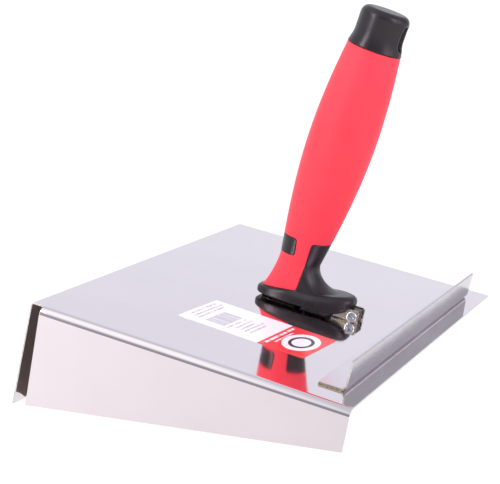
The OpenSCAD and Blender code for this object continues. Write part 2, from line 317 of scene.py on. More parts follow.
def grip_rubber():
    """Red soft-touch rubber: a velvety bloom over a very fine grain."""
    tree, shader = new_material(
        "grip_rubber", Specular_IOR_Level=0.35, Sheen_Weight=0.25, Sheen_Roughness=0.45,
        Sheen_Tint=(1.0, 0.45, 0.5, 1),
    )
    here = place(tree)
    grain = noise(tree, here, 2600, 2, 0.6)
    cloud = noise(tree, here, 28, 4, 0.6)
    tint = ramp(tree, cloud, [(0.3, (0.90, 0.038, 0.062)), (0.7, (0.95, 0.050, 0.078))])
    surface(tree, shader, tint, spread(tree, cloud, 0.50, 0.60, 0.3, 0.7))
    bump(tree, shader, grain, 0.15, 0.00015)


# ---- printed label: local X runs along its length, local Y across it ----

PRINT_SPLIT = 53.8
BARS = {"x": (14.5, 27.5), "y": (-16, 8), "pitch": 1.5}
EMBLEM = {"x": 71.0, "y": 0.5, "half_x": 10.2, "half_y": 17.5, "ring": (0.50, 0.68)}
# Rows of fine print: place along the label, half height, and the two ends across it
ROWS = [
    (3.2, 0.85, -14, 17), (6.6, 0.85, -16, 19), (9.8, 0.85, -16, 15),
    (30.0, 0.75, -17, 7), (33.6, 0.8, -13, 9), (36.8, 0.8, -12, 6),
    (40.0, 0.8, -14, 11), (43.2, 0.8, -13, 8),
]
STRIPES = [(56.6, 1.0, -20, 20), (60.0, 0.6, -13, 12)]
WORD_STEP = 1.6


def inside(tree, value, low, high):
    """1 where value lies between low and high."""
    above = math_node(tree, "GREATER_THAN", value, low)
    below = math_node(tree, "LESS_THAN", value, high)
    return times(tree, above, below)


def any_of(tree, masks):
    total = masks[0]
    for mask in masks[1:]:
        total = math_node(tree, "MAXIMUM", total, mask)
    return total


def print_rows(tree, x, y, rows):
    """Mask of rectangles, each given as a row of the print."""
    return any_of(tree, [times(
        tree, inside(tree, x, middle - half, middle + half), inside(tree, y, start, end),
    ) for middle, half, start, end in rows])


def stepped(tree, value, step):
    """Number of whole steps in a value."""
    return math_node(tree, "FLOOR", math_node(tree, "DIVIDE", value, step))


def off_centre(tree, value, middle, half):
    """Square of the distance from the middle, 1 at half away from it."""
    share = math_node(tree, "DIVIDE", math_node(tree, "SUBTRACT", value, middle), half)
    return math_node(tree, "POWER", math_node(tree, "ABSOLUTE", share), 2)


def label_paper():
    """Gloss paper with a plain generic print: rows of dashes, bars, a ring on red."""
    tree, shader = new_material("label_paper", Specular_IOR_Level=0.5, Coat_Weight=0.35,
                                Coat_Roughness=0.12)
    axes = add(tree, "SeparateXYZ", {0: place(tree, (LABEL_L, LABEL_W, 1), uv=True)})
    x = axes.outputs[0]
    y = math_node(tree, "SUBTRACT", axes.outputs[1], LABEL_W / 2)

    word = add(tree, "CombineXYZ", {
        0: stepped(tree, x, WORD_STEP), 1: times(tree, y, 0.55),
    }).outputs[0]
    dashes = math_node(tree, "LESS_THAN", noise(tree, word, 1.7, 1), 0.56)
    rows = times(tree, print_rows(tree, x, y, ROWS), dashes)
    stripes = times(tree, print_rows(tree, x, y, STRIPES), dashes)

    pitch, (low, high) = BARS["pitch"], BARS["x"]
    step = math_node(tree, "FRACT", math_node(tree, "DIVIDE", y, pitch))
    bar = add(tree, "CombineXYZ", {0: stepped(tree, y, pitch)}).outputs[0]
    bars = times(
        tree, math_node(tree, "LESS_THAN", step, noise(tree, bar, 3.3, 0)),
        print_rows(tree, x, y, [((low + high) / 2, (high - low) / 2, *BARS["y"])]),
    )

    out = math_node(tree, "SQRT", math_node(
        tree, "ADD", off_centre(tree, x, EMBLEM["x"], EMBLEM["half_x"]),
        off_centre(tree, y, EMBLEM["y"], EMBLEM["half_y"]),
    ))
    disc = math_node(tree, "LESS_THAN", out, 1.0)
    ring = inside(tree, out, *EMBLEM["ring"])

    fibre = noise(tree, place(tree), 260, 4, 0.6)
    white = ramp(tree, fibre, [(0.3, (0.83, 0.79, 0.84)), (0.7, (0.90, 0.86, 0.90))])
    red = ramp(tree, fibre, [(0.3, (0.80, 0.035, 0.04)), (0.7, (0.86, 0.05, 0.055))])
    colour = mix(tree, times(tree, rows, 0.6), white, (0.14, 0.12, 0.16))
    colour = mix(tree, times(tree, bars, 0.9), colour, (0.10, 0.09, 0.13))
    colour = mix(tree, math_node(tree, "GREATER_THAN", x, PRINT_SPLIT), colour, red)
    colour = mix(tree, any_of(tree, [disc, stripes]), colour, white)
    colour = mix(tree, ring, colour, (0.03, 0.04, 0.045))
    surface(tree, shader, colour, spread(tree, fibre, 0.32, 0.42, 0.3, 0.7))
    bump(tree, shader, fibre, 0.05, 0.0002)


polished_steel()
leg_steel()
mill_steel()
cut_edge("blade_edge", (0.50, 0.47, 0.46), (0.80, 0.77, 0.76))
cut_edge("stiffener_edge", (0.16, 0.12, 0.08), (0.66, 0.60, 0.48))
channel_steel()
zinc_plate()
nylon()
core_plastic()
grip_rubber()
label_paper()


# ---- mesh helpers ----

def new_mesh(name, bm):
    made = bpy.data.meshes.new(name)
    bm.to_mesh(made)
    bm.free()
    return made


def new_object(name, data):
    made = bpy.data.objects.new(name, data)
    bpy.context.scene.collection.objects.link(made)
    return made


def finish_piece(bm, name, node, materials, sharp=35, matrix=None):
    """Turns a mesh in blade millimetres into a piece that stands for a CAD node."""
    mesh = new_mesh(name, bm)
    for material in materials:
        mesh.materials.append(MATERIALS[material])
    mesh.transform(STAND if matrix is None else STAND @ matrix)
    for polygon in mesh.polygons:
        polygon.use_smooth = True
    mesh.set_sharp_from_angle(angle=math.radians(sharp))
    made = new_object(name, mesh)
    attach(made, BODY)
    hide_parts(node)
    return made


def bake(made):
    """Replaces the piece's mesh by what its modifiers make of it."""
    bpy.context.view_layer.update()
    seen = made.evaluated_get(bpy.context.evaluated_depsgraph_get())
    made.data = bpy.data.meshes.new_from_object(seen)
    made.modifiers.clear()


def apply_modifiers(made, sharp=35):
    """Bakes the piece's modifiers, and keeps its flat faces flat in shading."""
    bake(made)
    made.data.set_sharp_from_angle(angle=math.radians(sharp))
    even = made.modifiers.new("normals", "WEIGHTED_NORMAL")
    even.keep_sharp = True
    even.weight = 80
    bake(made)
    return made


def bevel(made, width, segments=2, angle=40):
    """Rounds the piece's sharp edges by width millimetres."""
    step = made.modifiers.new("edges", "BEVEL")
    step.width = width * MM
    step.segments = segments
    step.limit_method = "ANGLE"
    step.angle_limit = math.radians(angle)
    step.harden_normals = False


def grid_faces(bm, rows, closed=False, keep=lambda i, j: True):
    """Quads between rows of vertices, each row a line of the same length."""
    count = len(rows[0])
    for i, (low, high) in enumerate(zip(rows, rows[1:])):
        for j in range(count if closed else count - 1):
            if keep(i, j):
                k = (j + 1) % count
                bm.faces.new((low[j], low[k], high[k], high[j]))


def spaced(start, end, count):
    """count steps from start to end, both ends included."""
    return [start + (end - start) * i / count for i in range(count + 1)]


def fold_path(radius, run, drop, lean=0.0, arc_steps=8, wall_steps=1):
    """Outer line of a fold: in from (run, 0) to (0, 0), round the bend, down the wall."""
    points = [(run, 0.0), (0.0, 0.0)] if run else [(0.0, 0.0)]
    for angle in spaced(math.pi / 2, math.pi - lean, arc_steps)[1:]:
        points.append((radius * math.cos(angle), radius * math.sin(angle) - radius))
    low = points[-1]
    wall_l = (drop - radius + radius * math.sin(lean)) / math.cos(lean)
    for share in spaced(0, 1, wall_steps)[1:]:
        points.append((low[0] - share * wall_l * math.sin(lean),
                       low[1] - share * wall_l * math.cos(lean)))
    return points


def sheet_piece(bm, name, node, materials, thickness, back, edges, radius):
    """Gives a one-sided sheet its thickness, its other face and its cut edges."""
    made = finish_piece(bm, name, node, materials)
    solid = made.modifiers.new("sheet", "SOLIDIFY")
    solid.thickness = thickness * MM
    solid.offset = -1
    solid.use_even_offset = True
    solid.material_offset = back
    solid.material_offset_rim = edges
    bevel(made, radius)
    return apply_modifiers(made)


# ---- blade ----

def blade_point(u, v):
    """Point of the sheet's outer face. u and v are (distance in, depth down) pairs."""
    (x, x_down), (y, y_down) = u, v
    if x < SIDE_R or x_down < 0:
        share = min(1.0, -x_down / CORNER_H)
        near = RELIEF * (1 - share)
        return (x, near + (y - FRONT_R) / (BLADE_D - FRONT_R) * (BLADE_D - near), x_down)
    if x < CORNER_GAP:
        y = RELIEF + (y - FRONT_R) / (BLADE_D - FRONT_R) * (BLADE_D - RELIEF)
    if y_down < -FRONT_R + 1e-6:
        wall_h = CORNER_H - x * math.tan(TILT)
        share = (-y_down - FRONT_R) / (CORNER_H - FRONT_R)
        y_down = -FRONT_R - share * (wall_h - FRONT_R)
    return (x, y, y_down)


def blade():
    side = [(x + SIDE_R, z) for x, z in fold_path(SIDE_R, 0, CORNER_H, 0, 10, 8)][::-1]
    front = [(y + FRONT_R, z) for y, z in fold_path(FRONT_R, 0, CORNER_H, 0, 16, 8)][::-1]
    across = side + [(5.0, 0.0), (CORNER_GAP - 0.6, 0.0), (CORNER_GAP, 0.0)]
    across += [(x, 0.0) for x in spaced(CORNER_GAP, BLADE_W, 24)[1:]]
    along = front + [(y, 0.0) for y in spaced(FRONT_R, BLADE_D, 36)[1:]]
    gap = len(side) + 2
    bm = bmesh.new()
    rows = [[bm.verts.new(blade_point(u, v)) for u in across] for v in along]
    grid_faces(bm, rows, keep=lambda i, j: i >= len(front) - 1 or j >= gap)
    loose = [v for v in bm.verts if not v.link_faces]
    bmesh.ops.delete(bm, geom=loose, context="VERTS")
    made = sheet_piece(bm, "blade_sheet", "blade",
                       ["polished_steel", "blade_edge"], SHEET_T, 0, 1, 0.18)
    for vertex in made.data.vertices:
        vertex.co.z = max(vertex.co.z, 0.0)


# ---- edge stiffener ----

def edge_stiffener():
    """Angle folded from sheet: brushed on its top and inner faces, darker outside."""
    path = fold_path(STIFF_R, STIFF_W - STIFF_R, STIFF_H, STIFF_LEAN, 12, 3)
    fold_x = BLADE_W - STIFF_INSET - STIFF_R
    start = (BLADE_D - STIFF_L) / 2
    bm = bmesh.new()
    rows = [[bm.verts.new((fold_x - u, start + y, -w)) for u, w in path]
            for y in spaced(STIFF_L, 0, 20)]
    grid_faces(bm, rows)
    made = sheet_piece(bm, "edge_stiffener_angle", "edge_stiffener", [
        "mill_steel", "leg_steel", "stiffener_edge", "blade_edge"], STIFF_T, 1, 2, 0.2)
    lying = STAND.inverted()
    for polygon in made.data.polygons:
        if polygon.material_index == 2 and (lying @ polygon.center).z > 2 * STIFF_T:
            polygon.material_index = 3


# ---- mounting channel ----

LUG_ROUND = 1.2


def channel_path(height, lip):
    """Half of the channel's outer line, from the middle of its base to its top."""
    half = CHANNEL_W / 2
    bend = spaced(0, math.pi / 2, 6)
    path = [(0.0, 0.0)]
    path += [(half - CHANNEL_R * (1 - math.sin(a)), CHANNEL_R * (1 - math.cos(a))) for a in bend]
    if not lip:
        return path + [(half, height)]
    path += [(half - CHANNEL_R * (1 - math.cos(a)), height - CHANNEL_R * (1 - math.sin(a)))
             for a in bend]
    return path + [(half - CHANNEL_T - LIP_W, height)]


def channel_stretch(bm, start, end, height, lip):
    """One stretch of the channel. A lipped stretch ends in a slope, a lug in round corners."""
    half = channel_path(height, lip)
    path = [(-y, z) for y, z in half[:0:-1]] + half
    rows = []
    for share in spaced(0, 1, 16):
        row = []
        for y, z in path:
            stop = end - max(0.0, z - CHANNEL_T) if lip else end
            drop = 0.0
            if not lip and z == height:
                near = min(share, 1 - share) * (end - start)
                out = max(0.0, 1 - near / LUG_ROUND)
                drop = LUG_ROUND * (1 - math.sqrt(1 - out ** 2))
            row.append(bm.verts.new((start + share * (stop - start), MID_Y + y, z - drop)))
        rows.append(row)
    grid_faces(bm, rows)


def mounting_channel():
    bm = bmesh.new()
    heel_end = CHANNEL_X + HEEL_PART_L
    channel_stretch(bm, CHANNEL_X, heel_end, HEEL_PART_H, True)
    channel_stretch(bm, CHANNEL_END - LUG_L, CHANNEL_END, LUG_H, False)
    flat = CHANNEL_W / 2 - CHANNEL_R
    rows = [[bm.verts.new((x, MID_Y + y, 0)) for y in (-flat, 0, flat)]
            for x in spaced(heel_end, CHANNEL_END - LUG_L, 6)]
    grid_faces(bm, rows)
    bmesh.ops.remove_doubles(bm, verts=bm.verts, dist=0.01)
    bmesh.ops.reverse_faces(bm, faces=bm.faces)
    made = sheet_piece(bm, "mounting_channel_sheet", "mounting_channel",
                       ["channel_steel", "stiffener_edge"], CHANNEL_T, 0, 1, 0.15)
    cut_away(made, [cylinder_tool(SCREW_R + SCREW_FIT, -CHANNEL_W, CHANNEL_W, ON_SCREW)])


# ---- cutting tools ----

def cylinder_tool(radius, low, high, matrix):
    bm = bmesh.new()
    bmesh.ops.create_cone(bm, cap_ends=True, segments=64, radius1=radius, radius2=radius,
                          depth=high - low)
    bm.transform(matrix @ Matrix.Translation((0, 0, (low + high) / 2)))
    return bm


def box_tool(low, high):
    """Box between two corners, given as in the blade's frame but with Y from its middle."""
    bm = bmesh.new()
    bmesh.ops.create_cube(bm, size=1)
    size = [b - a for a, b in zip(low, high)]
    middle = [(a + b) / 2 for a, b in zip(low, high)]
    bm.transform(Matrix.Translation((middle[0], middle[1] + MID_Y, middle[2]))
                 @ Matrix.Diagonal((*size, 1)))
    return bm


def cut_away(made, tools, own_crossings=False):
    """Cuts meshes in blade millimetres out of a piece, which may cross itself."""
    placed = []
    for bm in tools:
        mesh = new_mesh("tool", bm)
        mesh.transform(STAND)
        mesh.materials.append(made.data.materials[0])
        tool = new_object("tool", mesh)
        placed.append(tool)
        step = made.modifiers.new("cut", "BOOLEAN")
        step.solver = "EXACT"
        step.use_self = own_crossings
        step.object = tool
    apply_modifiers(made)
    for tool in placed:
        bpy.data.objects.remove(tool)


# ---- turned pieces on the clamp screw's axis ----

# Local Z of a turned piece runs along +Y of the blade, from the channel's middle
ON_SCREW = Matrix.Translation((SCREW_X, MID_Y, SCREW_Z)) @ Matrix.Rotation(
    math.radians(-90), 4, "X")


def turned(profile, count=64, reach=lambda angle, r, z: r):
    """Revolves a closed line of (radius, z) points; reach may shape each radius."""
    bm = bmesh.new()
    rows = []
    for i in range(count):
        angle = 2 * math.pi * i / count
        rows.append([bm.verts.new((reach(angle, r, z) * math.cos(angle),
                                   reach(angle, r, z) * math.sin(angle), z))
                     for r, z in profile])
    rows.append(rows[0])
    grid_faces(bm, rows, closed=True)
    bmesh.ops.remove_doubles(bm, verts=bm.verts, dist=1e-5)
    bmesh.ops.recalc_face_normals(bm, faces=bm.faces)
    return bm


def arc(middle, radius, start, end, count=6):
    """Points of an arc, with its angles in degrees."""
    return [(middle[0] + radius * math.cos(math.radians(a)),
             middle[1] + radius * math.sin(math.radians(a))) for a in spaced(start, end, count)]


def cross_recess():
    """Tapered cross that is cut into the screw's head."""
    tools = []
    face = -CHANNEL_W / 2 - HEAD_H
    for turn in (20, 110):
        bm = bmesh.new()
        bmesh.ops.create_cube(bm, size=1)
        for vertex in bm.verts:
            deep = vertex.co.z > 0
            vertex.co.x *= 2.2 if deep else 4.4
            vertex.co.y *= 0.7 if deep else 1.1
            vertex.co.z = face + (1.5 if deep else -0.5)
        bm.transform(ON_SCREW @ Matrix.Rotation(math.radians(turn), 4, "Z"))
        tools.append(bm)
    return tools


THREAD_PITCH = 0.7
THREAD_DEPTH = 0.38
HEAD_ROUND = 0.7


def clamp_screw():
    """Cheese-head screw with a cross recess and a cut thread."""
    face = -CHANNEL_W / 2
    tip = face + SCREW_L
    start = face + 1
    profile = [(0, face - HEAD_H)]
    profile += arc((HEAD_R - HEAD_ROUND, face - HEAD_H + HEAD_ROUND), HEAD_ROUND, -90, 0, 5)
    profile += [(HEAD_R, face - 0.15), (HEAD_R - 0.15, face), (SCREW_R, face)]
    profile += [(SCREW_R, z) for z in spaced(start, tip - 0.5, 168)]
    profile += [(SCREW_R - 0.5, tip), (0, tip)]

    def thread(angle, r, z):
        if r != SCREW_R or z <= start:
            return r
        turn = (z / THREAD_PITCH - angle / (2 * math.pi)) % 1
        grown = min(1.0, (z - start) / THREAD_PITCH, (tip - z) / THREAD_PITCH)
        return r - THREAD_DEPTH * grown * min(1.0, 2.3 * abs(turn - 0.5))

    made = finish_piece(turned(profile, 40, thread), "clamp_screw_body", "clamp_screw",
                        ["zinc_plate"], 50, ON_SCREW)
    cut_away(made, cross_recess())


def ring_profile(inner, outer, low, high, edge):
    """Closed line of a ring with chamfered edges."""
    return [(inner, low + edge), (inner + edge, low), (outer - edge, low), (outer, low + edge),
            (outer, high - edge), (outer - edge, high), (inner + edge, high),
            (inner, high - edge)]


def spacer_sleeve():
    half = CHANNEL_W / 2 - CHANNEL_T
    bore = SCREW_R + SCREW_FIT
    profile = ring_profile(bore, bore + SLEEVE_WALL, -half, half, 0.15)
    finish_piece(turned(profile), "spacer_sleeve_tube", "spacer_sleeve",
                 ["zinc_plate"], 30, ON_SCREW)


def lock_nut():
    """Hexagon nut with chamfered corners and a round collar for the nylon ring."""
    low = CHANNEL_W / 2
    flat = NUT_FLATS / 2
    bore = SCREW_R + THREAD_FIT
    corner = flat / math.cos(math.radians(30))
    profile = [(bore, low + 0.2), (bore + 0.3, low), (flat - 0.2, low)]
    profile += [(corner, low + z) for z in (0.01, 0.2, 0.4, 0.6, 1.4, 2.9, 3.1, 3.3, 3.5)]
    profile += [(NUT_COLLAR_R, low + NUT_H)]
    profile += arc((NUT_COLLAR_R - 0.5, low + NUT_COLLAR_H - 0.5), 0.5, 0, 120, 6)
    profile += [(NUT_RING_R, low + NUT_H + NUT_RING_H), (NUT_RING_R, low + NUT_H),
                (bore, low + NUT_H)]

    def hexagon(angle, r, z):
        if r != corner:
            return r
        turn = (math.degrees(angle) + 30) % 60 - 30
        chamfer = flat - 0.2 + min(z - low, low + NUT_H - z) * 1.7
        return min(flat / math.cos(math.radians(turn)), chamfer)

    finish_piece(turned(profile, 96, hexagon), "lock_nut_body", "lock_nut",
                 ["zinc_plate"], 25, ON_SCREW)


def nut_ring():
    low = CHANNEL_W / 2 + NUT_H
    profile = ring_profile(SCREW_R + THREAD_FIT, NUT_RING_R - 0.01, low, low + NUT_RING_H, 0.2)
    finish_piece(turned(profile), "nut_ring_insert", "nut_ring", ["nylon"], 30,
                 ON_SCREW)


# ---- handle surface ----

RING_N = 144


def signed_pow(value, power):
    return math.copysign(abs(value) ** power, value)


def turns():
    return spaced(0, 2 * math.pi, RING_N)[:-1]


def grip_half(s):
    """Half width and half thickness of the grip, which swells from its neck to its belly."""
    if s < BELLY_S:
        swell = math.sin(math.pi / 2 * (s - NECK_S) / (BELLY_S - NECK_S))
    else:
        swell = math.cos(GRIP_FADE * (s - BELLY_S) / (CAP_S - BELLY_S))
    return ((NECK_W + (BELLY_W - NECK_W) * swell) / 2, (NECK_T + (BELLY_T - NECK_T) * swell) / 2)


def on_axis(s, a, b):
    """Point at s along the handle's axis, a across it and b in Y from the blade's middle."""
    return Vector((HANDLE_X + s * math.sin(HANDLE_LEAN) + a * math.cos(HANDLE_LEAN), MID_Y + b,
                   s * math.cos(HANDLE_LEAN) - a * math.sin(HANDLE_LEAN)))


def off_axis(point):
    """The s, a and b of a point, the inverse of on_axis()."""
    x, z = point[0] - HANDLE_X, point[2]
    return (x * math.sin(HANDLE_LEAN) + z * math.cos(HANDLE_LEAN),
            x * math.cos(HANDLE_LEAN) - z * math.sin(HANDLE_LEAN), point[1] - MID_Y)


def oval(s, a, b):
    return [on_axis(s, a * math.cos(u), b * math.sin(u)) for u in turns()]


def foot_xy(u, inset):
    """Plan outline of the foot, drawn in by inset."""
    return ((HEEL_X + TOE_X) / 2 + (FOOT_L / 2 - inset) * signed_pow(math.cos(u), FOOT_POWER),
            MID_Y + (FOOT_W / 2 - inset) * signed_pow(math.sin(u), FOOT_POWER))


def top_z(x):
    return HEEL_H + (x - HEEL_X) * FOOT_RISE


def sole_z(x):
    return SOLE_H + TOE_LIFT * (max(0, x - LIFT_X) / (TOE_X - LIFT_X)) ** 2


def toe_share(u):
    """0 at the heel and 1 at the toe."""
    return (1 + math.cos(u)) / 2


def smooth(share):
    share = min(1.0, max(0.0, share))
    return share * share * (3 - 2 * share)


def foot_flow(u):
    """How much the foot's sides flow into the neck: most beside the toe half."""
    return smooth((toe_share(u) - 0.38) / 0.15) * math.sin(u) ** 2


def foot_edge(u):
    return (1.8 + 2.7 * toe_share(u) ** 3) * (1 - 0.2 * foot_flow(u))


def foot_drop(u):
    return 1.8 + 2.7 * toe_share(u) + 1.8 * foot_flow(u)


def sole_round(u):
    return 1.5 + 1.3 * toe_share(u) ** 2


def sweep_power(u):
    """Shape of the sweep: nearly straight above the heel, round above the toe."""
    return 1.45 - 0.45 * toe_share(u)


def foot_ring(v):
    """Ring of the foot's upper edge, with v from 0 at its side to 90 degrees at its top."""
    points = []
    for u in turns():
        flow, share = foot_flow(u), v / (math.pi / 2)
        inward = (1 - flow) * (1 - math.cos(v)) + flow * smooth(share)
        down = (1 - flow) * (1 - math.sin(v)) + flow * (1 - share)
        x, y = foot_xy(u, foot_edge(u) * inward)
        points.append(Vector((x, y, top_z(x) - foot_drop(u) * down)))
    return points


def sole_ring(v):
    """Ring of the sole's edge, with v from 0 at its underside to 90 degrees at its side."""
    points = []
    for u in turns():
        x, y = foot_xy(u, sole_round(u) * (1 - math.sin(v)))
        points.append(Vector((x, y, sole_z(x) + sole_round(u) * (1 - math.cos(v)))))
    return points


def sweep_ring(t):
    """Hollow sweep from the neck, t = 0, down to the foot's upper face, t = 1."""
    points = []
    for u in turns():
        neck = on_axis(NECK_S, NECK_W / 2 * math.cos(u), NECK_T / 2 * math.sin(u))
        x, y = foot_xy(u, foot_edge(u))
        out = Vector((x - neck.x, y - neck.y))
        share = min(0.95, FILLET_R / out.length)
        power = sweep_power(u)
        grow = share * (1 - math.cos(math.pi / 2 * t) ** power)
        fall = math.sin(math.pi / 2 * t) ** power
        low = top_z(neck.x + share * out.x)
        points.append(Vector((neck.x + grow * out.x, neck.y + smooth(fall) * out.y,
                              neck.z + (low - neck.z) * fall)))
    return points


def handle_rings():
    """Rings of the outer surface, from the sole to the end of the grip."""
    quarter = spaced(0, math.pi / 2, 8)
    rings = [sole_ring(v) for v in quarter] + [foot_ring(v) for v in quarter]
    rings += [sweep_ring(t) for t in spaced(1, 0, 24)[:-1]]
    rings += [oval(s, *grip_half(s)) for s in spaced(NECK_S, CAP_S, 96)]
    return rings


def skin(rings):
    """Open tube over a list of rings, the lowest first."""
    bm = bmesh.new()
    rows = [[bm.verts.new(point) for point in points] for points in rings]
    grid_faces(bm, rows, closed=True)
    return bm, rows


def cut_along(bm, field, level, snap=0.02):
    """Adds an edge loop where the field of a point equals level."""
    value = {v: field(v.co) - level for v in bm.verts}
    value = {v: 0.0 if abs(here) < snap else here for v, here in value.items()}
    on_line = {v for v, here in value.items() if here == 0}
    for edge in list(bm.edges):
        a, b = edge.verts
        if value[a] * value[b] < 0:
            on_line.add(bmesh.utils.edge_split(edge, a, value[a] / (value[a] - value[b]))[1])
    for face in list(bm.faces):
        crossed = [v for v in face.verts if v in on_line]
        if len(crossed) == 2 and not any(crossed[1] in e.verts for e in crossed[0].link_edges):
            bmesh.utils.face_split(face, crossed[0], crossed[1])


# ---- border of the soft grip, in the blade's X and Z ----

BIG = 300
WINDOW_Z = (32.7, 44.3)
WINDOW_X = 105.4
GRIP_LOW = (7.4, 11)
GRIP_SIDE = (110.8, 115.2)
GRIP_SIDE_TOP = 43
CORNER_R = 1.8
BORDER_Z = (5.4, 50)
SEAM_R = 0.5
SEAM_DEPTH = 0.6
SOFT, CORE = 1, 0


def rounded(points, radius, count=8):
    """Closed outline with its corners rounded."""
    outline = []
    for i, corner in enumerate(points):
        corner = Vector(corner)
        to_last = (Vector(points[i - 1]) - corner).normalized()
        to_next = (Vector(points[(i + 1) % len(points)]) - corner).normalized()
        half = to_last.angle(to_next) / 2
        middle = corner + (to_last + to_next).normalized() * radius / math.sin(half)
        start = corner + to_last * radius / math.tan(half) - middle
        end = corner + to_next * radius / math.tan(half) - middle
        turn = math.atan2(start.x * end.y - start.y * end.x, start.dot(end))
        for share in spaced(0, 1, count):
            outline.append(middle + Matrix.Rotation(share * turn, 2) @ start)
    return outline


def outline_field(outline):
    """Signed distance to a closed outline, negative inside."""
    start = np.array([tuple(p) for p in outline])
    end = np.roll(start, -1, axis=0)
    run = end - start
    length = (run ** 2).sum(1)

    def field(x, z):
        here = np.array((x, z))
        share = np.clip(((here - start) * run).sum(1) / length, 0, 1)
        away = np.sqrt(((start + run * share[:, None] - here) ** 2).sum(1)).min()
        crossing = (start[:, 1] > z) != (end[:, 1] > z)
        at = start[crossing, 0] + (z - start[crossing, 1]) / run[crossing, 1] * run[crossing, 0]
        return -away if np.count_nonzero(at > x) % 2 else away

    return field


def grip_zone():
    """Signed distance from the soft grip's border at a point, negative in the soft grip."""
    field = outline_field(rounded([
        (-BIG, BIG), (-BIG, WINDOW_Z[1]), (WINDOW_X, WINDOW_Z[1]), (WINDOW_X, WINDOW_Z[0]),
        (-BIG, WINDOW_Z[0]), (-BIG, GRIP_LOW[0]), (HEEL_X, GRIP_LOW[0]),
        (GRIP_SIDE[0], GRIP_LOW[1]), (GRIP_SIDE[1], GRIP_SIDE_TOP), (BIG, GRIP_SIDE_TOP),
        (BIG, BIG),
    ], CORNER_R))

    def zone(point):
        if point.z < BORDER_Z[0]:
            return BIG
        return -BIG if point.z > BORDER_Z[1] else field(point.x, point.z)

    return zone


def lip(distance):
    """Depth of a rounded lip at a distance from the seam."""
    share = 1 - min(1.0, distance / SEAM_R)
    return SEAM_DEPTH * (1 - math.sqrt(1 - share ** 2))


def soft_depth(point):
    """Thickness of the soft grip, less where it runs out on the foot."""
    return GRIP_T * min(1.0, max(0.28, (point.z - 6) / 12))


def split_handle():
    """The handle's surface, cut along the border of the soft grip and beside it."""
    bm, rows = skin(handle_rings())
    zone = grip_zone()
    cut_along(bm, zone, 0.0)
    for face in bm.faces:
        face.material_index = SOFT if zone(face.calc_center_median()) < 0 else CORE
    seam = [e for e in bm.edges
            if len({f.material_index for f in e.link_faces}) == 2
            or (len(e.link_faces) == 1 and e.link_faces[0].material_index == SOFT)]
    samples = [e.verts[0].co.lerp(e.verts[1].co, share)
               for e in seam for share in spaced(0, 1, 12)]
    tree = kdtree.KDTree(len(samples))
    for i, point in enumerate(samples):
        tree.insert(point, i)
    tree.balance()
    for share in (0.25, 0.6, 1.0):
        cut_along(bm, lambda point: tree.find(point)[2], share * SEAM_R, 0.005)
    bm.normal_update()
    away = {v: tree.find(v.co)[2] for v in bm.verts}
    return bm, rows, away


def soft_grip(bm, away):
    """Closed shell of the soft grip, with a rounded lip along its border."""
    shell = bmesh.new()
    faces = [f for f in bm.faces if f.material_index == SOFT]
    verts = {v for f in faces for v in f.verts}
    outer = {v: shell.verts.new(v.co - v.normal * lip(away[v])) for v in verts}
    inner = {v: shell.verts.new(v.co - v.normal * soft_depth(v.co)) for v in verts}
    for face in faces:
        shell.faces.new([outer[v] for v in face.verts])
        shell.faces.new([inner[v] for v in reversed(face.verts)])
        for loop in face.loops:
            others = [f for f in loop.edge.link_faces if f != face]
            if not others or others[0].material_index == CORE:
                a, b = loop.vert, loop.link_loop_next.vert
                shell.faces.new((outer[b], outer[a], inner[a], inner[b]))
    finish_piece(shell, "soft_grip_cover", "soft_grip", ["grip_rubber"], 60)


def handle_core(bm, rows, away):
    """Core of the handle: bare where the grip leaves it, set back under the grip."""
    core = bmesh.new()
    moved = {}
    for v in bm.verts:
        covered = all(f.material_index == SOFT for f in v.link_faces)
        depth = soft_depth(v.co) if covered else lip(away[v])
        moved[v] = core.verts.new(v.co - v.normal * depth)
    for face in bm.faces:
        core.faces.new([moved[v] for v in face.verts])
    core.faces.new([moved[v] for v in reversed(rows[0])])
    bore = [[core.verts.new(point) for point in oval(s, HOLLOW_R, HOLLOW_R)]
            for s in (CAP_S, HOLLOW_S)]
    grid_faces(core, [[moved[v] for v in rows[-1]], *bore], closed=True)
    core.faces.new(bore[-1])
    made = finish_piece(core, "handle_core_body", "handle_core",
                        ["core_plastic"], 40)

    room_w = CHANNEL_W / 2 + CHANNEL_ROOM
    lugs_x = CHANNEL_END - LUG_L - 1
    cut_away(made, [
        box_tool((CHANNEL_X - 1, -room_w, -1),
                 (CHANNEL_X + HEEL_PART_L + 2, room_w, HEEL_PART_H + CHANNEL_ROOM)),
        box_tool((lugs_x, -room_w, -1), (CHANNEL_END + 8, room_w, LUG_H + CHANNEL_ROOM)),
        cylinder_tool(HEAD_ROOM_R, -FOOT_W, FOOT_W, ON_SCREW),
    ], own_crossings=True)


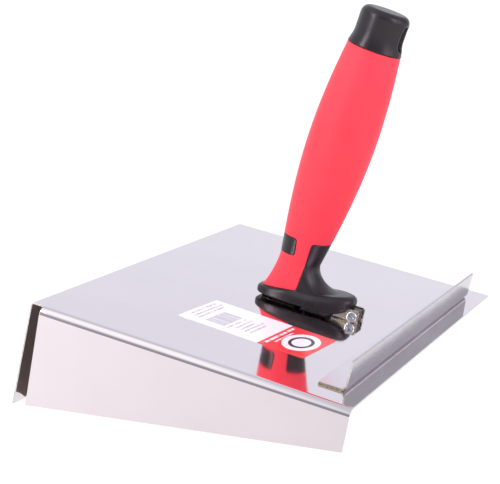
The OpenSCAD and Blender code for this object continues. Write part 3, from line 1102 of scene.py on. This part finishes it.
def handle_key():
    """Blocks of the core that fit in the channel, across it and between its lugs."""
    tee_w = CHANNEL_W / 2 - CHANNEL_T - KEY_GAP
    low = CHANNEL_T + KEY_GAP
    heel = (CHANNEL_X + 1, CHANNEL_X + HEEL_PART_L - 1)
    blocks = {
        "tee": ((heel[0], -tee_w, low), (heel[1], tee_w, HEEL_PART_H - CHANNEL_T - KEY_GAP)),
        "stem": ((heel[0], LIP_W - tee_w, low), (heel[1], tee_w - LIP_W, HEEL_PART_H + 1)),
        "middle": ((heel[1] + 3.5, -6.5, low), (heel[1] + 22.5, 6.5, low + LUG_H)),
        "lugs": ((CHANNEL_END - LUG_L, -tee_w, low), (CHANNEL_END - 0.6, tee_w, LUG_H + 1)),
    }
    for name, (start, end) in blocks.items():
        made = finish_piece(box_tool(start, end), "handle_core_" + name, "handle_core",
                            ["core_plastic"])
        bevel(made, 0.3)
        apply_modifiers(made)
        if name == "lugs":
            cut_away(made, [
                cylinder_tool(SCREW_R + SCREW_FIT + SLEEVE_WALL, -CHANNEL_W, CHANNEL_W, ON_SCREW),
                box_tool((TOE_X - 1, -CHANNEL_W, LUG_H - 0.6),
                         (CHANNEL_END + 8, CHANNEL_W, LUG_H + 3)),
            ])


# ---- end cap ----

CAP_FLARE, FLARE_L = 2.3, 10
RIM_R = 0.9
RIM_RISE, RISE_MID, RISE_SPREAD = 0.2, 1.3, 0.6
CAP_SEAM = 0.25
CAP_EDGE = 0.45


def cap_oval(h, inset):
    """Ring of the cap at a height above the grip, which flares where it meets the grip."""
    flare = CAP_FLARE * max(0, 1 - h / FLARE_L) ** 2
    return oval(CAP_S + h, CAP_W / 2 + flare - inset, CAP_T / 2 + flare / 2 - inset)


def slot_field(point):
    """Distance from the hanging slot's outline, negative in the slot."""
    s, _, b = off_axis(point)
    past = max(0.0, abs(s - SLOT_S) - (SLOT_L - SLOT_W) / 2)
    return math.hypot(past, b) - SLOT_W / 2


def rim(distance):
    """Depth of the slot's rim: rolled in at the slot, a little proud beside it."""
    share = 1 - min(1.0, max(0.0, distance) / RIM_R)
    return RIM_R * (1 - math.sqrt(1 - share ** 2)) - RIM_RISE * math.exp(
        -((distance - RISE_MID) / RISE_SPREAD) ** 2)


def end_cap():
    plug = HOLLOW_R - PLUG_GAP
    rings = [oval(CAP_S - PLUG_L, plug - 0.8, plug - 0.8),
             oval(CAP_S - PLUG_L + 0.8, plug, plug), oval(CAP_S + CAP_SEAM, plug, plug)]
    rings += [cap_oval(CAP_SEAM + CAP_EDGE * (1 - math.cos(u)), CAP_EDGE * (1 - math.sin(u)))
              for u in spaced(0, math.pi / 2, 4)]
    rings += [cap_oval(h, 0)
              for h in spaced(CAP_SEAM + CAP_EDGE, CAP_L - CAP_ROUND, 22)[1:]]
    rings += [cap_oval(CAP_L - CAP_ROUND * (1 - math.sin(u)), CAP_ROUND * (1 - math.cos(u)))
              for u in spaced(0, math.pi / 2, 10)[1:]]
    rings += [cap_oval(CAP_L, inset) for inset in (7, 10)]
    bm, rows = skin(rings)
    for level in (0.0, 0.2, 0.5, 0.9, 1.3, 1.8, 2.4):
        cut_along(bm, slot_field, level, 0.01)
    gone = [f for f in bm.faces if slot_field(f.calc_center_median()) < 0
            and f.calc_center_median().z > rows[3][0].co.z]
    bmesh.ops.delete(bm, geom=gone, context="FACES")
    bm.normal_update()
    shift = {v: v.normal * rim(slot_field(v.co)) for v in bm.verts if slot_field(v.co) < 3.5}
    border = [v for v in bm.verts if v.is_boundary and abs(slot_field(v.co)) < 0.05]
    far_side = kdtree.KDTree(len(border))
    for i, v in enumerate(border):
        s, a, b = off_axis(v.co)
        if a < 0:
            far_side.insert((s, b, 0), i)
    far_side.balance()
    for edge in [e for e in bm.edges if e.is_boundary and set(e.verts) <= set(border)]:
        near = [off_axis(v.co) for v in edge.verts]
        if near[0][1] > 0:
            far = [border[far_side.find((s, b, 0))[1]] for s, _, b in near]
            bm.faces.new((edge.verts[0], edge.verts[1], far[1], far[0]))
    for v, step in shift.items():
        v.co -= step
    bm.faces.new(reversed(rows[0]))
    bm.faces.new(rows[-1])
    bmesh.ops.recalc_face_normals(bm, faces=bm.faces)
    finish_piece(bm, "end_cap_body", "end_cap", ["core_plastic"], 50)


# ---- label ----

def label():
    """Thin sheet with round corners; its UV runs along its length and across it."""
    corner = (LABEL_L / 2, LABEL_W / 2)
    outline = rounded([(-corner[0], -corner[1]), (corner[0], -corner[1]),
                       (corner[0], corner[1]), (-corner[0], corner[1])], 1.5)
    bm = bmesh.new()
    rows = [[bm.verts.new((*p, z)) for p in outline] for z in (0, LABEL_T)]
    grid_faces(bm, rows, closed=True)
    bm.faces.new(reversed(rows[0]))
    bm.faces.new(rows[1])
    across = bm.loops.layers.uv.new("print")
    for face in bm.faces:
        for loop in face.loops:
            x, y, _ = loop.vert.co
            loop[across].uv = (x / LABEL_L + 0.5, y / LABEL_W + 0.5)
    place_it = Matrix.Translation((*LABEL_MID, 0)) @ Matrix.Rotation(LABEL_TURN, 4, "Z")
    finish_piece(bm, "label_sheet", "label", ["label_paper"], 30, place_it)


blade()
edge_stiffener()
mounting_channel()
clamp_screw()
spacer_sleeve()
lock_nut()
nut_ring()
handle_surface, handle_rows, seam_distance = split_handle()
soft_grip(handle_surface, seam_distance)
handle_core(handle_surface, handle_rows, seam_distance)
handle_surface.free()
handle_key()
end_cap()
label()

# ---- camera, floor and light ----

CAMERA_AT = (0.3287, -0.8118, 0.2435)
CAMERA_AIM = (-0.0184, 0.0, 0.0778)
CAMERA_ROLL = math.radians(0.71)
CAMERA_LENS = 99.96
FLOOR_Z = -0.0002
# Painted shadow: a darker and warmer patch of floor under the tool, in metres, that does not glow
# and has a warm brown base colour; only the tool's hollow side sees it
SHADOW_PATCH_X, SHADOW_PATCH_Y = (-0.103, 0.035), (-0.137, 0.149)


def camera():
    made = new_object("camera", bpy.data.cameras.new("camera"))
    made.data.lens = CAMERA_LENS
    made.data.clip_end = 100
    toward = Vector(CAMERA_AIM) - Vector(CAMERA_AT)
    turn = toward.to_track_quat("-Z", "Y").to_matrix().to_4x4()
    made.matrix_world = (
        Matrix.Translation(CAMERA_AT) @ turn @ Matrix.Rotation(CAMERA_ROLL, 4, "Z")
    )
    bpy.context.scene.camera = made


def floor():
    """White floor that glows as a light table does, so that nothing casts a shadow on it, except
    for a painted shadow under the tool where it does not glow.
    """
    bm = bmesh.new()
    bmesh.ops.create_circle(bm, cap_ends=True, radius=30, segments=96)
    made = new_object("floor", new_mesh("floor", bm))
    made.location.z = FLOOR_Z
    tree, shader = new_material("floor", Specular_IOR_Level=0.2)
    grain = noise(tree, place(tree), 30, 2)
    tint = ramp(tree, grain, [(0.3, (0.99, 0.985, 0.985)), (0.7, (1.0, 0.995, 0.995))])
    axes = add(tree, "SeparateXYZ", {0: place(tree)})
    # Painted shadow under the tool: the floor there doesn't glow, so it shows the real shade, and
    # its base colour is a warm brown.
    shade = times(tree, inside(tree, axes.outputs[0], *SHADOW_PATCH_X),
                      inside(tree, axes.outputs[1], *SHADOW_PATCH_Y))
    tree.links.new(mix(tree, shade, (0.1, 0.1, 0.1), (0.54, 0.49, 0.42)),
                   shader.inputs["Base Color"])
    tree.links.new(tint, shader.inputs["Emission Color"])
    tree.links.new(spread(tree, shade, 0.93, 0.0), shader.inputs["Emission Strength"])
    shader.inputs["Roughness"].default_value = 0.7
    made.data.materials.append(MATERIALS["floor"])


def area_light(name, at, aim, size, power, tint=(1, 1, 1), mirrored=True):
    """Rectangular lamp, which glossy surfaces show unless it isn't mirrored."""
    lamp = bpy.data.lights.new(name, "AREA")
    lamp.shape = "RECTANGLE"
    lamp.size, lamp.size_y = size
    lamp.energy = power
    lamp.color = tint
    made = new_object(name, lamp)
    made.location = at
    made.rotation_euler = (Vector(aim) - Vector(at)).to_track_quat("-Z", "Y").to_euler()
    made.visible_glossy = mirrored


def studio():
    """White surround, dimmer in front and at the right behind, and soft boxes."""
    world = bpy.data.worlds.new("studio")
    bpy.context.scene.world = world
    world.use_nodes = True
    tree = world.node_tree
    background = tree.nodes["Background"]
    axes = add(tree, "SeparateXYZ", {0: add(tree, "TexCoord").outputs["Generated"]})
    height = ramp(tree, axes.outputs[2], [
        (0.0, (0.93, 0.96, 1.02)), (0.12, (0.92, 0.95, 1.01)), (0.33, (0.90, 0.935, 1.01)),
        (0.5, (0.83, 0.87, 0.96)), (1.0, (0.66, 0.69, 0.75)),
    ])
    front = spread(tree, axes.outputs[1], 0.42, 1.0, -0.92, -0.3)
    low = spread(tree, axes.outputs[2], 0.0, 1.0, 0.25, 0.6)
    right = times(tree, spread(tree, axes.outputs[0], 0.0, 0.42, 0.03, 0.15),
                      spread(tree, axes.outputs[1], 0.0, 1.0, 0.2, 0.5))
    right = times(tree, right, spread(tree, axes.outputs[2], 1.0, 0.0, 0.45, 0.7))
    dim = math_node(tree, "SUBTRACT", math_node(tree, "MAXIMUM", front, low), right)
    glow = times(tree, spread(tree, axes.outputs[2], 0.0, 1.0, 0.5, 0.8),
                     spread(tree, axes.outputs[1], 0.75, 0.0, -0.1, 0.3))
    glow = times(tree, glow, spread(tree, axes.outputs[0], 1.0, 0.05, -0.2, -0.07))
    sky = mix(tree, 1.0, height, add(tree, "CombineXYZ", {
        0: dim, 1: dim, 2: dim}).outputs[0], "MULTIPLY")
    tree.links.new(mix(tree, glow, sky, (1.4, 1.45, 1.4)), background.inputs["Color"])
    background.inputs["Strength"].default_value = 1.0
    area_light("top_box", (-0.55, -0.25, 1.5), (0, 0, 0), (1.6, 1.2), 10.5, mirrored=False)
    area_light("left_box", (-0.85, -1.25, 0.75), (0, 0, 0.1), (0.22, 1.0), 10)
    area_light("right_box", (1.25, -0.65, 0.7), (0, 0, 0.1), (0.2, 0.9), 3, (0.9, 0.82, 1))
    area_light("right_panel", (1.3, -0.45, 0.5), (0, 0, 0.1), (1.3, 1.2), 7, (0.9, 0.8, 1))


camera()
floor()
studio()
bpy.context.scene.view_settings.view_transform = "Standard"
